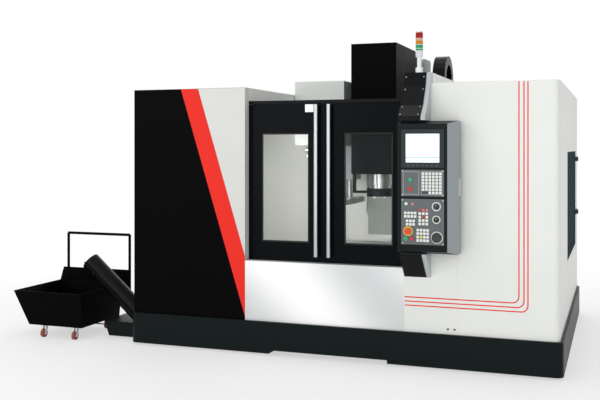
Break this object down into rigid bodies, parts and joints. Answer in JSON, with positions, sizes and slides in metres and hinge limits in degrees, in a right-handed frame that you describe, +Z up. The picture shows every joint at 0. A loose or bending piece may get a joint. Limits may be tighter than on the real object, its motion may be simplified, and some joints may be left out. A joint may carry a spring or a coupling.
{
  "type": "vertical machining center",
  "caption": "Enclosed vertical machining center with sliding doors, tool changer, swung-out operator station, signal tower, chip screw and a wheeled chip cart.",
  "frame": {"origin": "floor level under the middle of the enclosure, on the foot of the middle levelling pad", "axes": "+X to the operator's right along the front, +Y from the front panels to the back, +Z up"},
  "size_m": [4.827, 3.203, 2.69],
  "materials": {
    "white_paint": "semi-gloss",
    "black_paint": "satin",
    "skirt_paint": "satin",
    "wall_paint": "satin",
    "panel_paint": "satin",
    "cast_paint": "painted",
    "machined_iron": "ground",
    "steel": "brushed",
    "window": "clear",
    "black_plastic": "matte",
    "white_plastic": "gloss",
    "screen": "gloss",
    "red_plastic": "gloss",
    "green_plastic": "gloss",
    "lens": "clear",
    "wheel": "matte"
  },
  "bodies": {
    "machine": {"base_skirt": "skirt_paint", "levelling_pads": "steel", "bed_casting": "cast_paint", "column_casting": "cast_paint", "feed_drives": "steel", "atc_frame": "cast_paint", "magazine_cover": "white_paint", "control_console": "black_paint", "console_plates": "black_paint", "control_box": "panel_paint", "screen": "screen", "keyboard_panel": "panel_paint", "operator_panel": "panel_paint", "tower_pole": "white_plastic", "tower_lenses": "lens", "left_front_panel": "black_paint", "left_side_panel": "white_paint", "lower_front_panel": "steel", "right_center_panel": "white_paint", "right_panel": "white_paint", "rear_cabinet": "white_paint", "door_track": "black_paint", "inner_guard": "wall_paint", "chip_chute": "black_paint"},
    "saddle": {"saddle": "cast_paint", "y_way_covers": "steel"},
    "table": {"table": "machined_iron"},
    "head": {"head_casting": "cast_paint", "head_cover": "black_paint", "spindle_nose": "steel", "coolant_ring": "black_paint", "z_cover_upper": "steel"},
    "spindle": {"spindle": "steel"},
    "z_cover_mid": {"z_cover_mid": "steel"},
    "cable_chain": {"cable_chain": "black_plastic"},
    "magazine_disc": {"magazine_disc": "steel"},
    "arm_shaft": {"arm_shaft": "steel"},
    "tool_arm": {"tool_arm": "steel"},
    "left_door": {"left_door": "black_paint", "left_window": "window", "left_handle": "steel"},
    "right_door": {"right_door": "black_paint", "right_window": "window", "right_handle": "steel"},
    "side_door": {"side_door": "black_paint"},
    "cabinet_door": {"cabinet_door": "white_paint"},
    "main_switch": {"main_switch": "red_plastic"},
    "emergency_stop": {"emergency_stop": "red_plastic"},
    "cycle_start": {"cycle_start": "green_plastic"},
    "feed_hold": {"feed_hold": "red_plastic"},
    "feed_knob": {"feed_knob": "black_plastic"},
    "spindle_knob": {"spindle_knob": "black_plastic"},
    "handwheel": {"handwheel": "black_plastic"},
    "chip_auger": {"chip_auger": "steel"},
    "cart": {"cart_hopper": "black_paint"},
    "fork_left": {"cart_fork_left": "steel"},
    "fork_right": {"cart_fork_right": "steel"},
    "wheel_left": {"cart_wheel_left": "wheel"},
    "wheel_right": {"cart_wheel_right": "wheel"},
    "rear_wheels": {"cart_rear_wheels": "wheel"}
  },
  "joints": [
    {"name": "y_axis", "type": "slide", "parent": "machine", "child": "saddle", "axis": [0, 1, 0], "range_m": [-0.35, 0.35]},
    {"name": "x_axis", "type": "slide", "parent": "saddle", "child": "table", "axis": [1, 0, 0], "range_m": [-0.6, 0.6]},
    {"name": "z_axis", "type": "slide", "parent": "machine", "child": "head", "axis": [0, 0, 1], "range_m": [-0.345, 0.35]},
    {"name": "spindle_turn", "type": "hinge", "parent": "head", "child": "spindle", "pos_m": [0.08, -0.125, 1.5], "axis": [0, 0, 1], "continuous": true},
    {"name": "z_cover_slide", "type": "slide", "parent": "machine", "child": "z_cover_mid", "axis": [0, 0, 1], "range_m": [-0.1735, 0.176]},
    {"name": "chain_follow", "type": "slide", "parent": "machine", "child": "cable_chain", "axis": [0, 0, 1], "range_m": [-0.1735, 0.176]},
    {"name": "magazine_turn", "type": "hinge", "parent": "machine", "child": "magazine_disc", "pos_m": [-0.545, 0.175, 1.85], "axis": [1, 0, 0], "continuous": true},
    {"name": "arm_lift", "type": "slide", "parent": "machine", "child": "arm_shaft", "axis": [0, 0, -1], "range_m": [0, 0.115]},
    {"name": "arm_swing", "type": "hinge", "parent": "arm_shaft", "child": "tool_arm", "pos_m": [-0.26, 0.025, 1.205], "axis": [0, 0, 1], "range_deg": [0, 246]},
    {"name": "left_door_slide", "type": "slide", "parent": "machine", "child": "left_door", "axis": [-1, 0, 0], "range_m": [0, 0.56]},
    {"name": "right_door_slide", "type": "slide", "parent": "machine", "child": "right_door", "axis": [1, 0, 0], "range_m": [0, 0.56]},
    {"name": "side_door_hinge", "type": "hinge", "parent": "machine", "child": "side_door", "pos_m": [1.814, 1.08, 1.3], "axis": [0, 0, 1], "range_deg": [0, 100]},
    {"name": "cabinet_door_hinge", "type": "hinge", "parent": "machine", "child": "cabinet_door", "pos_m": [1.79, 1.436, 1.3], "axis": [0, 0, -1], "range_deg": [0, 110]},
    {"name": "main_switch_turn", "type": "hinge", "parent": "cabinet_door", "child": "main_switch", "pos_m": [0.76, 1.447, 1.5], "axis": [0, 1, 0], "range_deg": [0, 90]},
    {"name": "emergency_stop_push", "type": "slide", "parent": "machine", "child": "emergency_stop", "axis": [0, 1, 0], "range_m": [0, 0.008], "stiffness_N_per_m": 1500, "springref_m": -0.006},
    {"name": "cycle_start_push", "type": "slide", "parent": "machine", "child": "cycle_start", "axis": [0, 1, 0], "range_m": [0, 0.004], "stiffness_N_per_m": 900, "springref_m": -0.003},
    {"name": "feed_hold_push", "type": "slide", "parent": "machine", "child": "feed_hold", "axis": [0, 1, 0], "range_m": [0, 0.004], "stiffness_N_per_m": 900, "springref_m": -0.003},
    {"name": "feed_knob_turn", "type": "hinge", "parent": "machine", "child": "feed_knob", "pos_m": [0.925, -1.675, 1.285], "axis": [0, 1, 0], "range_deg": [-135, 135]},
    {"name": "spindle_knob_turn", "type": "hinge", "parent": "machine", "child": "spindle_knob", "pos_m": [0.925, -1.675, 1.187], "axis": [0, 1, 0], "range_deg": [-135, 135]},
    {"name": "handwheel_turn", "type": "hinge", "parent": "machine", "child": "handwheel", "pos_m": [0.929, -1.675, 1.053], "axis": [0, 1, 0], "continuous": true},
    {"name": "auger_turn", "type": "hinge", "parent": "machine", "child": "chip_auger", "pos_m": [-2.41, -1.175, 0.672], "axis": [0.7547, 0, -0.6561], "continuous": true},
    {"name": "cart_roll", "type": "slide", "parent": "machine", "child": "cart", "axis": [0, 1, 0], "range_m": [0, 0.8]},
    {"name": "fork_left_swivel", "type": "hinge", "parent": "cart", "child": "fork_left", "pos_m": [-2.72, -1.435, 0.104], "axis": [0, 0, 1], "continuous": true},
    {"name": "fork_right_swivel", "type": "hinge", "parent": "cart", "child": "fork_right", "pos_m": [-2.39, -1.435, 0.104], "axis": [0, 0, 1], "continuous": true},
    {"name": "wheel_left_roll", "type": "hinge", "parent": "fork_left", "child": "wheel_left", "pos_m": [-2.72, -1.457, 0.0375], "axis": [1, 0, 0], "continuous": true},
    {"name": "wheel_right_roll", "type": "hinge", "parent": "fork_right", "child": "wheel_right", "pos_m": [-2.39, -1.457, 0.0375], "axis": [1, 0, 0], "continuous": true},
    {"name": "rear_wheels_roll", "type": "hinge", "parent": "cart", "child": "rear_wheels", "pos_m": [-2.555, -0.925, 0.0375], "axis": [1, 0, 0], "continuous": true}
  ],
  "couplings": [
    {"joint": "z_cover_slide", "follows": "z_axis", "ratio": 0.5},
    {"joint": "chain_follow", "follows": "z_axis", "ratio": 0.5},
    {"joint": "rear_wheels_roll", "follows": "cart_roll", "rad_per_m": -26.667}
  ]
}
